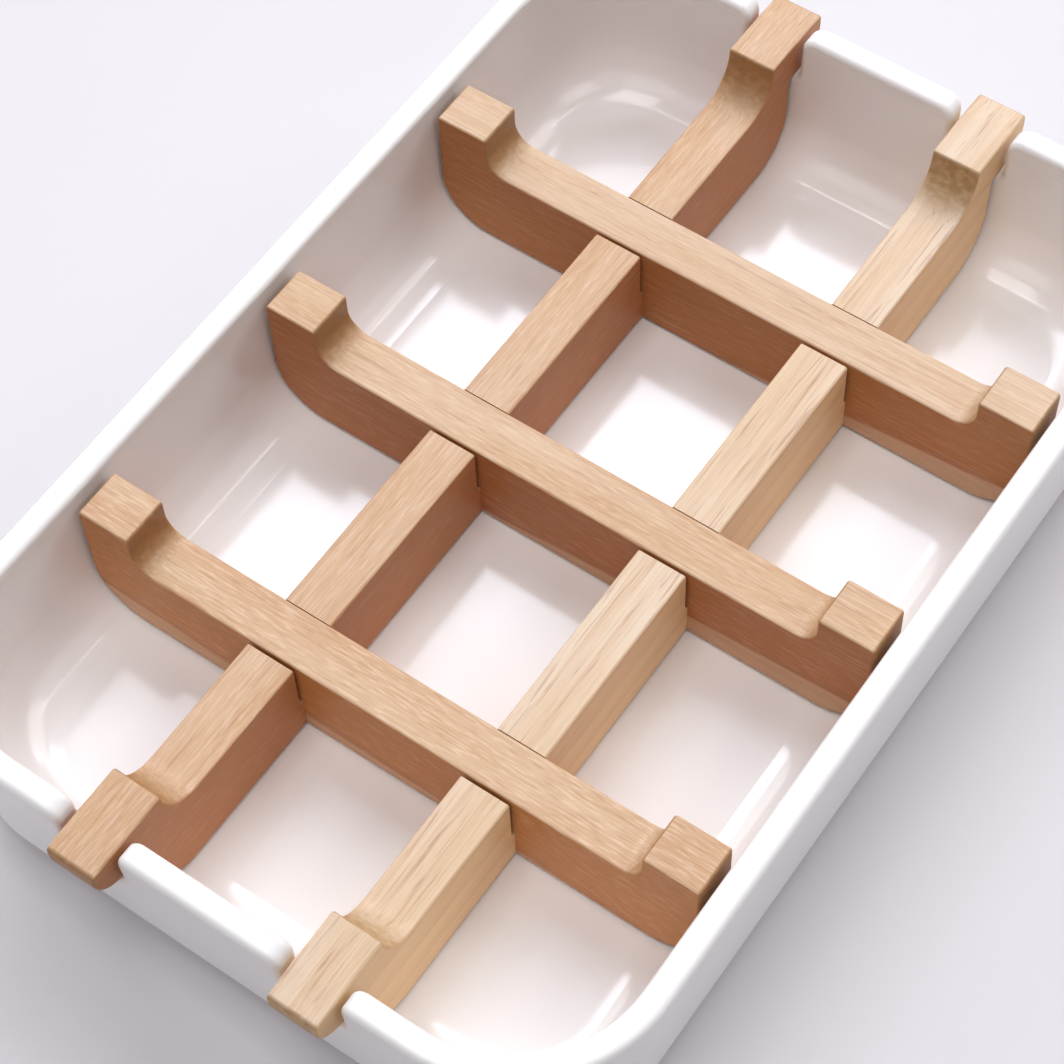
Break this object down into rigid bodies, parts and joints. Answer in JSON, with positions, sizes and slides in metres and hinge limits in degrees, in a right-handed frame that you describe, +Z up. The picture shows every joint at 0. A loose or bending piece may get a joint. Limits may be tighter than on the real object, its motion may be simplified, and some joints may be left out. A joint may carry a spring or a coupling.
{
  "type": "soap dish",
  "caption": "Rounded white soap tray with notched short walls and a lift-out grid of half-lapped wooden bars that holds a bar of soap above the drained water.",
  "frame": {"origin": "centre of the tray's flat underside, on the surface that it stands on", "axes": "+X along the dish towards the far short wall, +Y across it to the left, +Z up"},
  "size_m": [0.1352, 0.0868, 0.023],
  "materials": {
    "tray": "white injection-moulded plastic, polished inside and satin outside",
    "wood": "light close-grained hardwood, planed and sanded, thinly oiled"
  },
  "bodies": {
    "tray": {"tray": "tray"},
    "grid": {"long_bar_left": "wood", "long_bar_right": "wood", "cross_bar_near": "wood", "cross_bar_middle": "wood", "cross_bar_far": "wood"}
  },
  "joints": [
    {"name": "grid_lift", "type": "slide", "parent": "tray", "child": "grid", "axis": [0, 0, 1], "range_m": [0, 0.04]}
  ]
}
